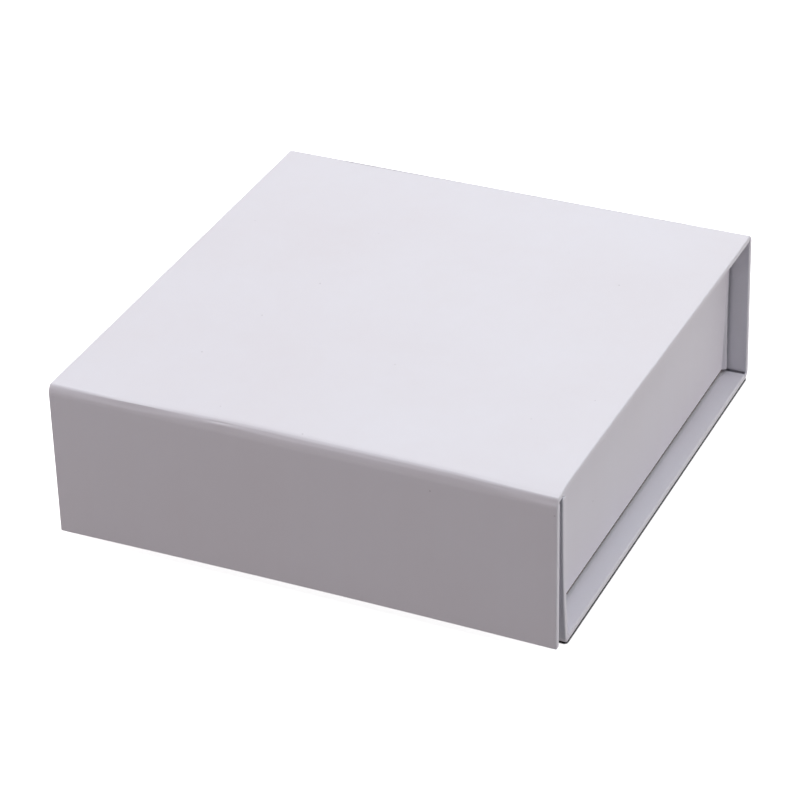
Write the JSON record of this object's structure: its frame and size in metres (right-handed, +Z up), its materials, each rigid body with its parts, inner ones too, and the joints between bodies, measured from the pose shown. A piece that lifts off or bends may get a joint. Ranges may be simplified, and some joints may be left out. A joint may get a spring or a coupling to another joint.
{
  "type": "jewelry gift box",
  "caption": "Square book-style gift box with a hinged lid, a magnetic front flap, set-back side walls and a lift-out foam pad.",
  "frame": {"origin": "middle of the footprint, on the table that the closed box stands on", "axes": "+Z up, -Y towards the front flap, +Y towards the spine and the lid's hinge, X along the folds"},
  "size_m": [0.1, 0.101, 0.0327],
  "materials": {
    "greyboard": "matte",
    "wrap_paper": "matte",
    "lining_paper": "matte",
    "nickel": "polished",
    "adhesive_tape": "matte",
    "pad_foam": "matte",
    "pad_flock": "matte"
  },
  "bodies": {
    "tray": {"base_board": "greyboard", "base_wrap": "wrap_paper", "base_lining": "lining_paper", "spine_board": "greyboard", "spine_wrap": "wrap_paper", "spine_lining": "lining_paper", "front_wall_board": "greyboard", "front_wall_wrap": "wrap_paper", "front_wall_lining": "lining_paper", "front_wall_magnet_left": "nickel", "front_wall_magnet_right": "nickel", "lid_hinge_paper": "wrap_paper", "spine_fold_paper": "wrap_paper", "front_fold_paper": "wrap_paper", "side_wall_left_board": "greyboard", "side_wall_left_wrap": "wrap_paper", "side_wall_left_lining": "lining_paper", "side_wall_right_board": "greyboard", "side_wall_right_wrap": "wrap_paper", "side_wall_right_lining": "lining_paper", "ear_back_left": "wrap_paper", "ear_back_right": "wrap_paper", "ear_front_left": "wrap_paper", "ear_front_right": "wrap_paper", "ear_tape_back_left": "adhesive_tape", "ear_tape_back_right": "adhesive_tape", "ear_tape_front_left": "adhesive_tape", "ear_tape_front_right": "adhesive_tape"},
    "lid": {"lid_board": "greyboard", "lid_wrap": "wrap_paper", "lid_lining": "lining_paper", "flap_hinge_paper": "wrap_paper"},
    "flap": {"flap_board": "greyboard", "flap_wrap": "wrap_paper", "flap_lining": "lining_paper", "flap_magnet_left": "nickel", "flap_magnet_right": "nickel"},
    "pad": {"pad_foam": "pad_foam", "pad_flock": "pad_flock"}
  },
  "joints": [
    {"name": "lid_hinge", "type": "hinge", "parent": "tray", "child": "lid", "pos_m": [0, 0.05, 0.03225], "axis": [-1, 0, 0], "range_deg": [0, 180]},
    {"name": "flap_hinge", "type": "hinge", "parent": "lid", "child": "flap", "pos_m": [0, -0.05, 0.03225], "axis": [-1, 0, 0], "range_deg": [-3, 180]},
    {"name": "pad_lift", "type": "slide", "parent": "tray", "child": "pad", "axis": [0, 0, 1], "range_m": [0, 0.0175]}
  ]
}
